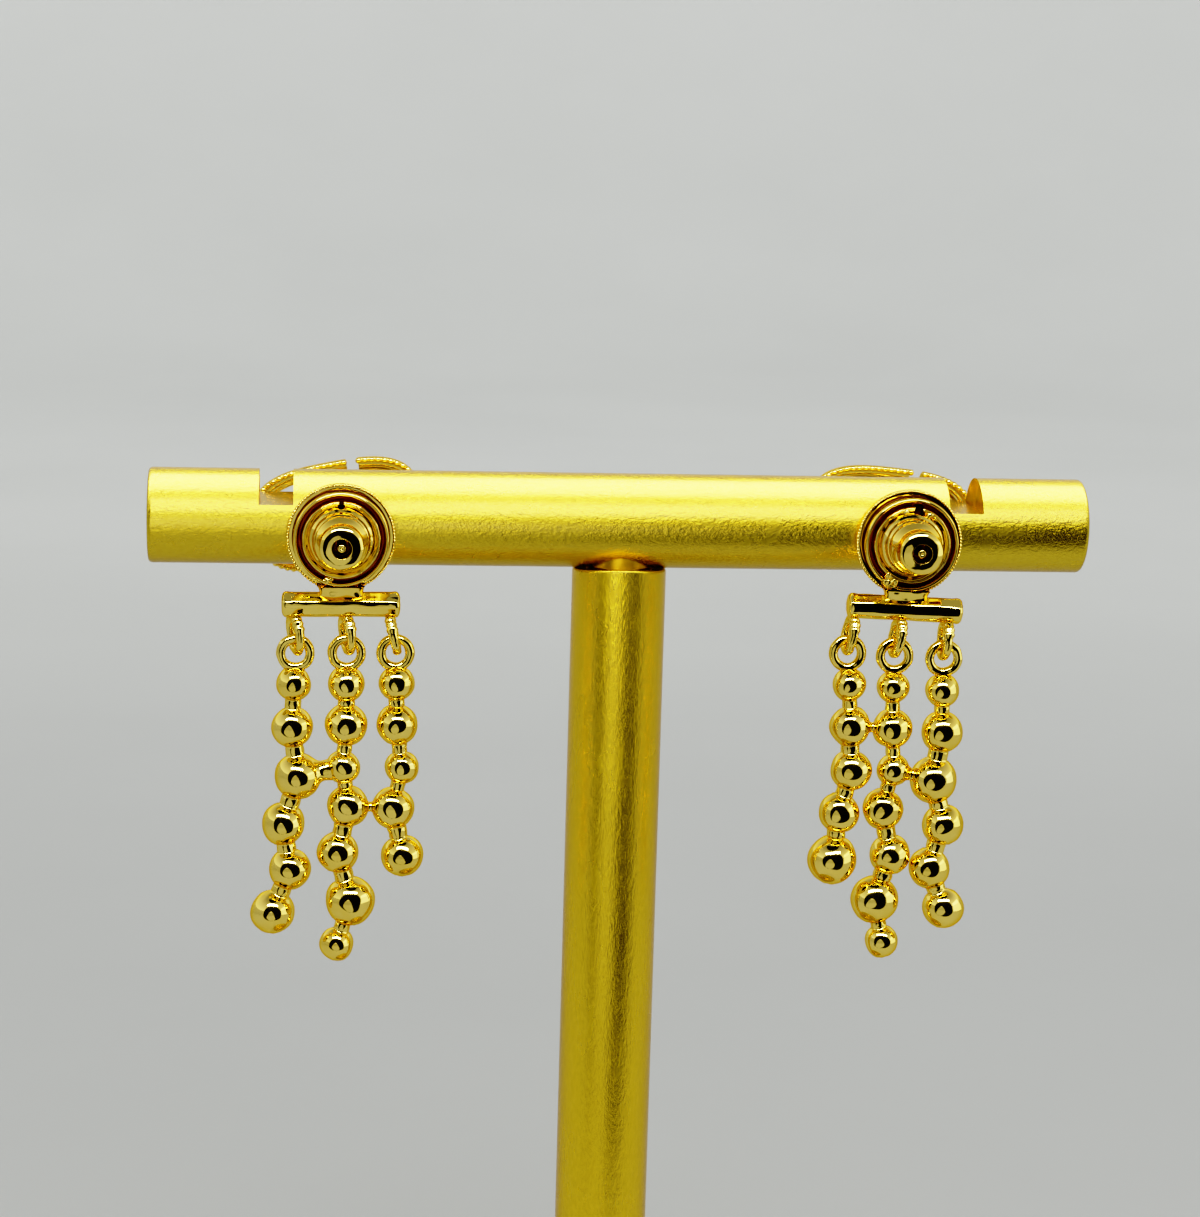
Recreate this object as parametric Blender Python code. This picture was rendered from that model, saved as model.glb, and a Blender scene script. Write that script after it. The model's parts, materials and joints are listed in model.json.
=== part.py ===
"""A pair of chandelier earrings hanging on a T-bar display stand.

Metres, +Z up, +X to the right and +Y away from a viewer who sees the back of the
earrings. The stand rests on Z = 0 with its post on the Z axis. Each earring has a
stud whose post runs through the bar, a round drum with a crossbar and three loops
in front of the bar, a nut on the post, and a rigid drop of three strands of balls,
soldered side by side, that swings on the loops by its three top rings.
"""
import math

import bmesh
import bpy
from mathutils import Matrix, Vector

MM = 0.001

# Stand.
BAR_AXIS_HEIGHT = 110.0 * MM
BAR_LENGTH = 94.2 * MM
BAR_RADIUS = 4.75 * MM
BAR_END_ROUNDING = 0.35 * MM
POST_RADIUS = 4.75 * MM
BASE_RADIUS = 30.0 * MM
BASE_THICKNESS = 6.0 * MM
BASE_CHAMFER = 0.9 * MM
POST_CHAMFER = 0.3 * MM
STUD_RADIUS = 3.1 * MM
STUD_LENGTH = 2.4 * MM
NOTCH_WIDTH = 3.4 * MM
NOTCH_DEPTH = 2.95 * MM
NOTCH_END_DISTANCE = 12.6 * MM
HOLE_END_DISTANCE = 18.9 * MM
HOLE_RADIUS = 1.8 * MM
SEAT_GAP = 0.15 * MM
FIT_GAP = 0.3 * MM

# Earring, in front of the bar: drum, saddle, crossbar, loops, rings and nut.
DRUM_BAR_GAP = 0.35 * MM
DRUM_RADIUS = 5.32 * MM
DRUM_THICKNESS = 2.6 * MM
CROSSBAR_DRUM_OVERLAP = 0.05 * MM
CROSSBAR_LENGTH = 11.6 * MM
CROSSBAR_RADIUS = 1.30 * MM
CROSSBAR_ROUNDING = 0.25 * MM
SADDLE_WIDTH = 4.7 * MM
SADDLE_THICKNESS = 1.5 * MM
SADDLE_OVERLAP = 0.7 * MM
LOOP_RADIUS = 1.75 * MM
LOOP_WIRE_RADIUS = 0.45 * MM
RING_RADIUS = 1.44 * MM
RING_WIRE_RADIUS = 0.47 * MM
RING_CROSSBAR_DROP = 4.88 * MM
NUT_BASE_RADIUS = 3.0 * MM
NUT_LENGTH = 6.0 * MM
NUT_MOUTH_RADIUS = 0.95 * MM
NUT_MOUTH_DEPTH = 1.6 * MM
EAR_POST_RADIUS = 0.45 * MM
EAR_POST_CHAMFER = 0.25 * MM
EAR_POST_RECESS = 0.2 * MM

# Front ornament, behind the bar: two curved lobes round an open middle.
ORNAMENT_BAR_GAP = 0.4 * MM
ORNAMENT_HALF_LENGTH = 8.68 * MM
ORNAMENT_HALF_HEIGHT = 5.4 * MM
ORNAMENT_SQUARENESS = 3.0
ORNAMENT_RISE = 0.5 * MM
ORNAMENT_SLOT_OFFSET = 2.32 * MM
ORNAMENT_SLOT_WIDTH = 1.25 * MM
LOBE_WIDTH = 1.7 * MM
LOBE_DEPTH = 2.6 * MM
BRIDGE_HALF_LENGTH = 7.3 * MM
BRIDGE_HEIGHT = 1.6 * MM
BRIDGE_SETBACK = 1.85 * MM
BRIDGE_THICKNESS = 0.6 * MM
HUB_RADIUS = 1.9 * MM
HUB_FACE_RADIUS = 1.14 * MM
HUB_SETBACK = 1.15 * MM
HUB_THICKNESS = 1.75 * MM
HUB_CHAMFER = 0.5 * MM

# How each earring hangs: side, X and Z of its post from the axis of its hole in the
# bar, turn of the drum, turn of the stud, and the direction of the stand's middle.
EARRINGS = (
    ("left", 0.10 * MM, -1.10 * MM, -0.5, -11.6, 1),
    ("right", 0.25 * MM, -0.95 * MM, 2.5, 5.7, -1),
)

# X of each strand from the post, positive towards the middle of the stand.
STRAND_X = {"outer": -4.45 * MM, "middle": 0.57 * MM, "inner": 5.38 * MM}

# How each loop is set: its turn about its height and the lean of its foot towards the
# middle of the stand, both in degrees.
LOOP_SETTING = {
    ("left", "outer"): (15.0, 5.0),
    ("left", "middle"): (13.0, 4.0),
    ("left", "inner"): (0.0, 12.0),
    ("right", "inner"): (2.0, 7.0),
    ("right", "middle"): (2.0, 7.0),
    ("right", "outer"): (0.0, 2.0),
}
LOOP_FOOT_OFFSET = 0.15 * MM

# The balls of each strand: X and drop from the centre of its top ring, and diameter.
BALLS_MM = {
    ("left", "outer"): (
        (-0.15, 3.10, 3.45),
        (-0.30, 7.50, 4.15),
        (0.35, 12.45, 4.70),
        (-1.05, 17.35, 4.35),
        (-0.35, 22.00, 4.20),
        (-2.05, 26.45, 4.40),
    ),
    ("left", "middle"): (
        (0.00, 3.10, 3.65),
        (0.05, 7.25, 4.25),
        (-0.20, 11.55, 3.35),
        (0.30, 15.55, 4.20),
        (-0.65, 20.30, 4.20),
        (0.65, 25.35, 5.00),
        (-0.65, 29.85, 3.45),
    ),
    ("left", "inner"): (
        (0.15, 3.05, 3.55),
        (0.25, 7.25, 4.15),
        (0.80, 11.60, 3.40),
        (0.00, 15.75, 4.20),
        (1.00, 20.65, 4.25),
    ),
    ("right", "inner"): (
        (0.35, 3.20, 3.40),
        (0.60, 7.50, 4.15),
        (0.90, 12.05, 4.20),
        (-0.15, 16.45, 4.10),
        (-0.65, 21.35, 5.05),
    ),
    ("right", "middle"): (
        (0.00, 3.25, 3.30),
        (0.10, 7.50, 4.05),
        (0.40, 11.75, 3.35),
        (-0.50, 15.85, 4.20),
        (0.45, 20.60, 4.15),
        (-0.95, 25.35, 4.90),
        (0.00, 29.75, 3.40),
    ),
    ("right", "outer"): (
        (0.00, 3.30, 3.50),
        (0.20, 7.55, 4.25),
        (-0.45, 12.60, 4.80),
        (0.75, 17.25, 4.20),
        (-0.45, 21.80, 4.20),
        (1.20, 26.00, 4.25),
    ),
}

# Solder between neighbouring strands: the two balls, counted from the top, and radius.
SOLDER_JOINTS = {
    "left": (
        ("outer", "third", "middle", "third", 0.95 * MM),
        ("middle", "fourth", "inner", "fourth", 0.50 * MM),
    ),
    "right": (
        ("inner", "second", "middle", "second", 0.45 * MM),
        ("middle", "third", "outer", "third", 0.65 * MM),
    ),
}
BALL_ORDER = ("first", "second", "third", "fourth", "fifth", "sixth", "seventh")
NECK_SHARE = 0.44
BALL_SIDES = 12
MID_LATITUDE = 55.0

# The drum's section as radius and depth behind its near face, in shares of its radius
# and thickness. The last two points are the wall and floor of the cup for the nut.
CUP_DEPTH_SHARE = 0.50
DRUM_SECTION = (
    (0.971, 1.00), (1.000, 0.94), (1.000, 0.75), (0.971, 0.69), (0.846, 0.69),
    (0.846, 0.52), (0.888, 0.42), (0.888, 0.16), (0.865, 0.08), (0.827, 0.08),
    (0.804, 0.16), (0.798, 0.50), (0.733, 0.50), (0.729, 0.08), (0.705, 0.00),
    (0.662, 0.03), (0.621, CUP_DEPTH_SHARE),
)

# The nut's outside as radius and distance from its base, in shares of its base radius
# and length.
NUT_SECTION = (
    (1.00, 0.00), (1.00, 0.17), (0.92, 0.21), (0.91, 0.28), (0.84, 0.31),
    (0.83, 0.39), (0.88, 0.43), (0.88, 0.49), (0.78, 0.56), (0.70, 0.64),
    (0.70, 0.78), (0.73, 0.88), (0.70, 0.93), (0.60, 0.97), (0.42, 1.00),
)

# The lobe's section as distance inside the outline and depth behind its near rim, in
# shares of its width and depth.
LOBE_SECTION = (
    (0.00, 0.00), (0.00, 0.37), (0.18, 0.65), (0.56, 0.88), (1.00, 1.00),
    (1.00, 0.79), (0.62, 0.67), (0.35, 0.46), (0.29, 0.00),
)
LOBE_STEPS = 22

# Places that follow from the sizes. Drops are down from the ear post, and depths are
# from the bar's axis, towards the viewer for the drum and away for the ornament.
CROSSBAR_DROP = DRUM_RADIUS - CROSSBAR_DRUM_OVERLAP + CROSSBAR_RADIUS
RING_DROP = CROSSBAR_DROP + RING_CROSSBAR_DROP
DRUM_BACK_DEPTH = BAR_RADIUS + DRUM_BAR_GAP
DRUM_FACE_DEPTH = DRUM_BACK_DEPTH + DRUM_THICKNESS
CROSSBAR_DEPTH = DRUM_BACK_DEPTH + DRUM_THICKNESS / 2
NUT_BASE_DEPTH = DRUM_FACE_DEPTH - DRUM_THICKNESS * CUP_DEPTH_SHARE + FIT_GAP
NUT_END_DEPTH = NUT_BASE_DEPTH + NUT_LENGTH
EAR_POST_TIP_DEPTH = NUT_END_DEPTH - EAR_POST_RECESS
ORNAMENT_NEAR_DEPTH = BAR_RADIUS + ORNAMENT_BAR_GAP
BRIDGE_NEAR_DEPTH = ORNAMENT_NEAR_DEPTH + BRIDGE_SETBACK
HUB_NEAR_DEPTH = ORNAMENT_NEAR_DEPTH + HUB_SETBACK


def clear_scene():
    for item in list(bpy.data.objects):
        bpy.data.objects.remove(item, do_unlink=True)


def metal(name, colour, roughness):
    made = bpy.data.materials.new(name)
    made.use_nodes = True
    shader = made.node_tree.nodes["Principled BSDF"]
    shader.inputs["Base Color"].default_value = (*colour, 1.0)
    shader.inputs["Roughness"].default_value = roughness
    shader.inputs["Metallic"].default_value = 1.0
    made.diffuse_color = (*colour, 1.0)
    return made


def satin_gold(name):
    return metal(name, (0.76, 0.56, 0.12), 0.34)


def polished_gold(name):
    return metal(name, (0.88, 0.62, 0.14), 0.08)


def body_from_rows(name, rows, closed_path=False, start=None, end=None):
    """One closed body through rows of points, each row a closed ring."""
    work = bmesh.new()
    made = [[work.verts.new(point) for point in row] for row in rows]
    count = len(made[0])
    pairs = list(zip(made, made[1:]))
    if closed_path:
        pairs.append((made[-1], made[0]))
    for near, far in pairs:
        for i in range(count):
            j = (i + 1) % count
            work.faces.new((near[i], near[j], far[j], far[i]))
    if not closed_path:
        for row, pole in ((made[0], start), (made[-1], end)):
            close_end(work, row, pole)
    bmesh.ops.recalc_face_normals(work, faces=work.faces)
    mesh = bpy.data.meshes.new(name)
    work.to_mesh(mesh)
    work.free()
    item = bpy.data.objects.new(name, mesh)
    bpy.context.scene.collection.objects.link(item)
    return item


def close_end(work, row, pole):
    if pole is None:
        work.faces.new(row)
        return
    tip = work.verts.new(pole)
    for i in range(len(row)):
        work.faces.new((row[i], row[(i + 1) % len(row)], tip))


def circle_row(centre, normal, radius, sides, phase=0.0):
    """A ring of points round a centre, the same way round for every normal in XZ."""
    across = Vector((0.0, 1.0, 0.0))
    if abs(normal.y) > 0.5:
        across = Vector((1.0, 0.0, 0.0))
    second = normal.cross(across).normalized()
    row = []
    for i in range(sides):
        angle = 2.0 * math.pi * (i + phase) / sides
        row.append(centre + across * (radius * math.cos(angle)) + second * (radius * math.sin(angle)))
    return row


def lathe(name, section, axis, sides, closed_path=False):
    """A body turned about an axis through the origin, from (radius, distance) pairs."""
    rows = [circle_row(axis * far, axis, radius, sides, 0.5) for radius, far in section]
    return body_from_rows(name, rows, closed_path)


def box(name, low, high):
    rows = []
    for z in (low[2], high[2]):
        rows.append([
            Vector((low[0], low[1], z)), Vector((high[0], low[1], z)),
            Vector((high[0], high[1], z)), Vector((low[0], high[1], z)),
        ])
    return body_from_rows(name, rows)


def torus(name, centre, normal, radius, wire_radius, steps, sides):
    level = normal.cross(Vector((0.0, 0.0, 1.0))).normalized()
    start = level.cross(normal)
    second = normal.cross(start)
    rows = []
    for i in range(steps):
        angle = 2.0 * math.pi * (i + 0.5) / steps
        out = start * math.cos(angle) + second * math.sin(angle)
        row = []
        for j in range(sides):
            turn = 2.0 * math.pi * (j + 0.5) / sides
            swell = out * (radius + wire_radius * math.cos(turn))
            row.append(centre + swell + normal * (wire_radius * math.sin(turn)))
        rows.append(row)
    return body_from_rows(name, rows, closed_path=True)


def combine(target, tools, operation):
    """Join tools to a body, or cut them out of it, and keep them as hidden helpers."""
    for tool in tools:
        tool.hide_render = True
        tool.display_type = "WIRE"
        step = target.modifiers.new(tool.name, "BOOLEAN")
        step.operation = operation
        step.solver = "EXACT"
        step.object = tool


def empty(name, location, turn):
    item = bpy.data.objects.new(name, None)
    item.location = location
    item.rotation_euler = (0.0, math.radians(turn), 0.0)
    bpy.context.scene.collection.objects.link(item)
    return item


def hang_on(parent, items):
    for item in items:
        item.parent = parent


def stand_base(parent):
    section = (
        (BASE_RADIUS - BASE_CHAMFER / 3, 0.0),
        (BASE_RADIUS, BASE_CHAMFER / 3),
        (BASE_RADIUS, BASE_THICKNESS - BASE_CHAMFER),
        (BASE_RADIUS - BASE_CHAMFER, BASE_THICKNESS),
    )
    base = lathe("stand_base", section, Vector((0.0, 0.0, 1.0)), 64)
    base.data.materials.append(satin_gold("base_satin_gold"))
    hang_on(parent, [base])


def stand_post(parent):
    foot = BASE_THICKNESS + SEAT_GAP
    top = BAR_AXIS_HEIGHT - BAR_RADIUS - SEAT_GAP
    section = (
        (POST_RADIUS, foot),
        (POST_RADIUS, top - POST_CHAMFER),
        (POST_RADIUS - POST_CHAMFER, top),
        (STUD_RADIUS, top),
        (STUD_RADIUS, top + STUD_LENGTH),
    )
    post = lathe("stand_post", section, Vector((0.0, 0.0, 1.0)), 40)
    post.data.materials.append(satin_gold("post_satin_gold"))
    hang_on(parent, [post])


def bar_cutters():
    cutters = []
    for name, side in (("left", -1), ("right", 1)):
        middle = side * (BAR_LENGTH / 2 - NOTCH_END_DISTANCE)
        floor = BAR_RADIUS - NOTCH_DEPTH
        cutters.append(box(
            name + "_notch_cutter",
            (middle - NOTCH_WIDTH / 2, -2 * BAR_RADIUS, floor),
            (middle + NOTCH_WIDTH / 2, 2 * BAR_RADIUS, 2 * BAR_RADIUS),
        ))
        hole = lathe(
            name + "_hole_cutter",
            ((HOLE_RADIUS, -2 * BAR_RADIUS), (HOLE_RADIUS, 2 * BAR_RADIUS)),
            Vector((0.0, 1.0, 0.0)),
            16,
        )
        hole.location.x = side * (BAR_LENGTH / 2 - HOLE_END_DISTANCE)
        cutters.append(hole)
    roof = -BAR_RADIUS - SEAT_GAP + STUD_LENGTH + FIT_GAP
    socket = STUD_RADIUS + FIT_GAP
    cutters.append(lathe(
        "socket_cutter",
        ((socket, -2 * BAR_RADIUS), (socket, roof)),
        Vector((0.0, 0.0, 1.0)),
        24,
    ))
    return cutters


def stand_bar(parent):
    half = BAR_LENGTH / 2
    inset = half - BAR_END_ROUNDING
    section = (
        (BAR_RADIUS - BAR_END_ROUNDING, -half),
        (BAR_RADIUS, -inset),
        (BAR_RADIUS, inset),
        (BAR_RADIUS - BAR_END_ROUNDING, half),
    )
    bar = lathe("stand_bar", section, Vector((1.0, 0.0, 0.0)), 48)
    bar.data.materials.append(satin_gold("bar_satin_gold"))
    cutters = bar_cutters()
    level = empty("bar_axis", (0.0, 0.0, BAR_AXIS_HEIGHT), 0.0)
    hang_on(level, [bar] + cutters)
    hang_on(parent, [level])
    combine(bar, cutters, "DIFFERENCE")


def outline_angle(along):
    """The outline parameter at a distance along the ornament, on its upper side."""
    share = along / ORNAMENT_HALF_LENGTH
    power = ORNAMENT_SQUARENESS
    return math.atan2(1.0, share / (1.0 - share ** power) ** (1.0 / power))


def outline_point(angle):
    c, s = math.cos(angle), math.sin(angle)
    power = ORNAMENT_SQUARENESS
    reach = (abs(c) ** power + abs(s) ** power) ** (-1.0 / power)
    return Vector((ORNAMENT_HALF_LENGTH * c * reach, 0.0, ORNAMENT_HALF_HEIGHT * s * reach))


def lobe(name, turned):
    """One curved band of the ornament; the other lobe is the same turned half round."""
    first = outline_angle(ORNAMENT_SLOT_OFFSET - ORNAMENT_SLOT_WIDTH / 2)
    last = math.pi + outline_angle(ORNAMENT_SLOT_OFFSET + ORNAMENT_SLOT_WIDTH / 2)
    small = 0.001
    rows = []
    for i in range(LOBE_STEPS + 1):
        angle = first + (last - first) * i / LOBE_STEPS
        here = outline_point(angle)
        along = (outline_point(angle + small) - outline_point(angle - small)).normalized()
        inward = Vector((-along.z, 0.0, along.x))
        row = []
        for inside, deep in LOBE_SECTION:
            point = here + inward * (inside * LOBE_WIDTH)
            point.y = ORNAMENT_NEAR_DEPTH + deep * LOBE_DEPTH
            if turned:
                point = Vector((-point.x, point.y, -point.z))
            row.append(point + Vector((0.0, 0.0, ORNAMENT_RISE)))
        rows.append(row)
    return body_from_rows(name, rows)


def stud(parent, side, turn):
    """Ear post with its hub, bridge and two lobes, soldered into one body."""
    tip = -EAR_POST_TIP_DEPTH
    section = (
        (EAR_POST_RADIUS - EAR_POST_CHAMFER, tip),
        (EAR_POST_RADIUS, tip + EAR_POST_CHAMFER),
        (EAR_POST_RADIUS, HUB_NEAR_DEPTH + HUB_THICKNESS / 2),
    )
    away = Vector((0.0, 1.0, 0.0))
    item = lathe(side + "_stud", section, away, 12)
    item.data.materials.append(polished_gold(side + "_stud_gold"))
    hub_end = HUB_NEAR_DEPTH + HUB_THICKNESS
    hub = lathe(
        side + "_stud_hub",
        (
            (HUB_RADIUS, HUB_NEAR_DEPTH),
            (HUB_RADIUS, hub_end - HUB_CHAMFER),
            (HUB_FACE_RADIUS, hub_end),
        ),
        away,
        20,
    )
    bridge = box(
        side + "_stud_bridge",
        (-BRIDGE_HALF_LENGTH, BRIDGE_NEAR_DEPTH, -BRIDGE_HEIGHT / 2),
        (BRIDGE_HALF_LENGTH, BRIDGE_NEAR_DEPTH + BRIDGE_THICKNESS, BRIDGE_HEIGHT / 2),
    )
    lobes = [
        lobe(side + "_stud_first_lobe", False),
        lobe(side + "_stud_second_lobe", True),
    ]
    frame = empty(side + "_stud_turn", (0.0, 0.0, 0.0), turn)
    hang_on(parent, [frame])
    hang_on(frame, [item, hub, bridge] + lobes)
    combine(item, [hub, bridge] + lobes, "UNION")


def crossbar(name):
    half = CROSSBAR_LENGTH / 2
    inset = half - CROSSBAR_ROUNDING
    end_radius = CROSSBAR_RADIUS - CROSSBAR_ROUNDING
    bar = lathe(
        name,
        (
            (end_radius, -half), (CROSSBAR_RADIUS, -inset),
            (CROSSBAR_RADIUS, inset), (end_radius, half),
        ),
        Vector((1.0, 0.0, 0.0)),
        12,
    )
    bar.location = (0.0, -CROSSBAR_DEPTH, -CROSSBAR_DROP)
    return bar


def loop(side, place, inward):
    """A wire loop soldered into the crossbar, with its foot near its strand's ring."""
    turn, lean = (math.radians(value) for value in LOOP_SETTING[side, place])
    up = Vector((-inward * math.sin(lean), 0.0, math.cos(lean)))
    flat = Vector((math.cos(lean), 0.0, inward * math.sin(lean)))
    normal = flat * math.cos(turn) + up.cross(flat) * math.sin(turn)
    foot_drop = RING_DROP - RING_RADIUS + RING_WIRE_RADIUS + FIT_GAP + LOOP_WIRE_RADIUS
    foot = Vector(((STRAND_X[place] + LOOP_FOOT_OFFSET) * inward, -CROSSBAR_DEPTH, -foot_drop))
    return torus(
        side + "_" + place + "_loop", foot + up * LOOP_RADIUS, normal,
        LOOP_RADIUS, LOOP_WIRE_RADIUS, 14, 6,
    )


def drum(parent, side, inward):
    """Stepped round drum with its saddle, crossbar and three loops as one body."""
    bore = EAR_POST_RADIUS + FIT_GAP
    section = [
        (share * DRUM_RADIUS, deep * DRUM_THICKNESS - DRUM_FACE_DEPTH)
        for share, deep in DRUM_SECTION
    ]
    section = [(bore, section[0][1])] + section + [(bore, section[-1][1])]
    item = lathe(side + "_drum", section, Vector((0.0, 1.0, 0.0)), 32, closed_path=True)
    item.data.materials.append(polished_gold(side + "_drum_gold"))
    saddle = box(
        side + "_saddle",
        (-SADDLE_WIDTH / 2, -CROSSBAR_DEPTH - SADDLE_THICKNESS / 2, -CROSSBAR_DROP),
        (SADDLE_WIDTH / 2, -CROSSBAR_DEPTH + SADDLE_THICKNESS / 2, SADDLE_OVERLAP - DRUM_RADIUS),
    )
    tools = [saddle, crossbar(side + "_crossbar")]
    tools += [loop(side, place, inward) for place in STRAND_X]
    hang_on(parent, [item] + tools)
    combine(item, tools, "UNION")


def nut(parent, side):
    bore = EAR_POST_RADIUS + FIT_GAP
    section = [
        (share * NUT_BASE_RADIUS, -NUT_BASE_DEPTH - far * NUT_LENGTH)
        for share, far in NUT_SECTION
    ]
    section += [
        (NUT_MOUTH_RADIUS, -NUT_END_DEPTH),
        (NUT_MOUTH_RADIUS, NUT_MOUTH_DEPTH - NUT_END_DEPTH),
        (bore, NUT_MOUTH_DEPTH - NUT_END_DEPTH),
        (bore, -NUT_BASE_DEPTH),
    ]
    item = lathe(side + "_nut", section, Vector((0.0, 1.0, 0.0)), 20, closed_path=True)
    item.data.materials.append(polished_gold(side + "_nut_gold"))
    hang_on(parent, [item])


def ball_rows(centre, radius, before, after, neck_in, neck_out):
    """Rings on a ball between two necks, with a shared ring where its axis bends."""
    rows = []
    for angle in neck_in, math.radians(MID_LATITUDE):
        reach = radius * math.cos(angle)
        rows.append(circle_row(centre - before * reach, before, radius * math.sin(angle), BALL_SIDES))
    rows.append(circle_row(centre, (before + after).normalized(), radius, BALL_SIDES))
    for angle in math.radians(MID_LATITUDE), neck_out:
        reach = radius * math.cos(angle)
        rows.append(circle_row(centre + after * reach, after, radius * math.sin(angle), BALL_SIDES))
    return rows


def ball_centres(side, place, hook):
    """Centre and radius of each ball of a strand, from its ring's centre down."""
    return [
        (hook + Vector((x * MM, 0.0, -drop * MM)), diameter * MM / 2)
        for x, drop, diameter in BALLS_MM[side, place]
    ]


def strand(name, balls, hook):
    """Balls joined by short necks, as one body below the centre of its top ring."""
    rows = []
    before = (balls[0][0] - hook).normalized()
    blunt = math.radians(25.0)
    for i, (centre, radius) in enumerate(balls):
        last = i + 1 == len(balls)
        after = before if last else (balls[i + 1][0] - centre).normalized()
        neck_in = blunt
        if i:
            neck_in = math.asin(NECK_SHARE * min(radius, balls[i - 1][1]) / radius)
        neck_out = blunt
        if not last:
            neck_out = math.asin(NECK_SHARE * min(radius, balls[i + 1][1]) / radius)
        rows += ball_rows(centre, radius, before, after, neck_in, neck_out)
        before = after
    top = balls[0][0] - (balls[0][0] - hook).normalized() * balls[0][1]
    foot = balls[-1][0] + before * balls[-1][1]
    return body_from_rows(name, rows, start=top, end=foot)


def solder_joint(name, first, second, radius):
    """A short round bridge from one ball's inside to the next one's."""
    (start, _), (finish, _) = first, second
    along = (finish - start).normalized()
    rows = [circle_row(point, along, radius, 8, 0.5) for point in (start, finish)]
    return body_from_rows(name, rows)


def drop(parent, side, hooks):
    """Three strands with their top rings, soldered into one body on its hinge axis."""
    pivot = hooks["middle"] + Vector((0.0, 0.0, RING_RADIUS))
    balls = {}
    tools = []
    for place, hook in hooks.items():
        local = hook - pivot
        balls[place] = ball_centres(side, place, local)
        made = strand(side + "_" + place + "_strand", balls[place], local)
        tools.append(made)
        tools.append(torus(
            side + "_" + place + "_ring", local, Vector((0.0, 1.0, 0.0)),
            RING_RADIUS, RING_WIRE_RADIUS, 16, 6,
        ))
    for i, (place, upper, other, lower, radius) in enumerate(SOLDER_JOINTS[side]):
        first = balls[place][BALL_ORDER.index(upper)]
        second = balls[other][BALL_ORDER.index(lower)]
        tools.append(solder_joint(side + "_solder_" + str(i + 1), first, second, radius))
    item = tools.pop(2)
    item.name = side + "_drop"
    item.data.materials.append(polished_gold(side + "_drop_gold"))
    for part in [item] + tools:
        part.location = pivot
    hang_on(parent, [item] + tools)
    combine(item, tools, "UNION")


def earring(parent, side, x, z, drum_turn, stud_turn, inward):
    hole_x = -inward * (BAR_LENGTH / 2 - HOLE_END_DISTANCE)
    place = Vector((hole_x + x, 0.0, BAR_AXIS_HEIGHT + z))
    hang = empty(side + "_earring", place, drum_turn)
    stud_place = empty(side + "_stud_place", place, 0.0)
    hang_on(parent, [hang, stud_place])
    stud(stud_place, side, stud_turn)
    drum(hang, side, inward)
    nut(hang, side)
    turn = Matrix.Rotation(math.radians(drum_turn), 3, "Y")
    hooks = {}
    for name, strand_x in STRAND_X.items():
        local = Vector((strand_x * inward, -CROSSBAR_DEPTH, -RING_DROP))
        hooks[name] = place + turn @ local
    drop(parent, side, hooks)


def build():
    clear_scene()
    whole = empty("earring_display", (0.0, 0.0, 0.0), 0.0)
    stand_base(whole)
    stand_post(whole)
    stand_bar(whole)
    for row in EARRINGS:
        earring(whole, *row)
    bpy.context.view_layer.update()


build()
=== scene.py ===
"""The dressed look of a pair of chandelier earrings on a T-bar display stand.

Lengths in the tables are in millimetres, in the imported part's own frame: +Z up, X along
the bar, and -Y towards the viewer who sees the backs of the earrings.
"""
import json
import math

import bmesh
import bpy
from mathutils import Matrix, Vector, noise

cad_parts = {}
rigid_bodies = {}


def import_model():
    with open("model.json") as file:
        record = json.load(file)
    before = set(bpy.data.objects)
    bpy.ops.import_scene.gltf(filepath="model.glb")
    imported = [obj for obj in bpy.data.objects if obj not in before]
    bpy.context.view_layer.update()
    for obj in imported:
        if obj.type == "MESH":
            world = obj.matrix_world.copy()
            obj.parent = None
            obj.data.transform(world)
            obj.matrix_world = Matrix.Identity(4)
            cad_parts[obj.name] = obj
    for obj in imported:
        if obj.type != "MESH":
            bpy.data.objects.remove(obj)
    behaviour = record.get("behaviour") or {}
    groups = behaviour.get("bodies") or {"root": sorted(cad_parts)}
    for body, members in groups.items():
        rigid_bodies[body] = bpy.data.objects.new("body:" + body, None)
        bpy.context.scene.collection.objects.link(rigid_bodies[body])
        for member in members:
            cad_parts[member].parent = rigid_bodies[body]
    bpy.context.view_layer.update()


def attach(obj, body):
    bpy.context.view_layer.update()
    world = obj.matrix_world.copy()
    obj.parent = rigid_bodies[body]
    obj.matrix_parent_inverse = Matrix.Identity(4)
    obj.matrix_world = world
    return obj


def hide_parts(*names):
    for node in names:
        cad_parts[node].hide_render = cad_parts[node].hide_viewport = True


MM = 0.001
UP = Vector((0.0, 0.0, 1.0))
AWAY = Vector((0.0, 1.0, 0.0))
FIXED = "stand_and_fixed_parts"

# Stand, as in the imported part, but with the post's shoulder hollowed and close to the bar.
BAR_Z = 110.0
BAR_LENGTH = 94.2
BAR_RADIUS = 4.75
POST_RADIUS = 4.75
POST_COPE = 0.50
SHOULDER_GAP = 0.03
BASE_RADIUS = 30.0
BASE_THICKNESS = 6.0
BASE_TAPER = 0.1
SEAT_GAP = 0.15
STUD_RADIUS = 3.1
STUD_LENGTH = 2.4
NOTCH_WIDTH = 3.4
NOTCH_DEPTH = 2.95
NOTCH_X = 34.5
HOLE_X = 28.2
HOLE_RADIUS = 1.8
FIT_GAP = 0.3
SHOULDER_BAND = 1.2

# How far the tools that cut the bar reach from its axis.
CUT_REACH = 10.0
# How near the sections of turned bodies come to their axis.
BASE_CORE = 0.001
CORE = 0.01
EARRING_CORE = 0.02
# How far the rounding of their corners reaches.
BASE_ROUNDING = 0.9
POST_ROUNDING = 0.32
BAR_ROUNDING = 0.45
DRUM_ROUNDING = 0.17
NUT_ROUNDING = 0.32
EAR_POST_ROUNDING = 0.3
HUB_ROUNDING = 0.4
LOBE_ROUNDING = 0.35

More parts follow.
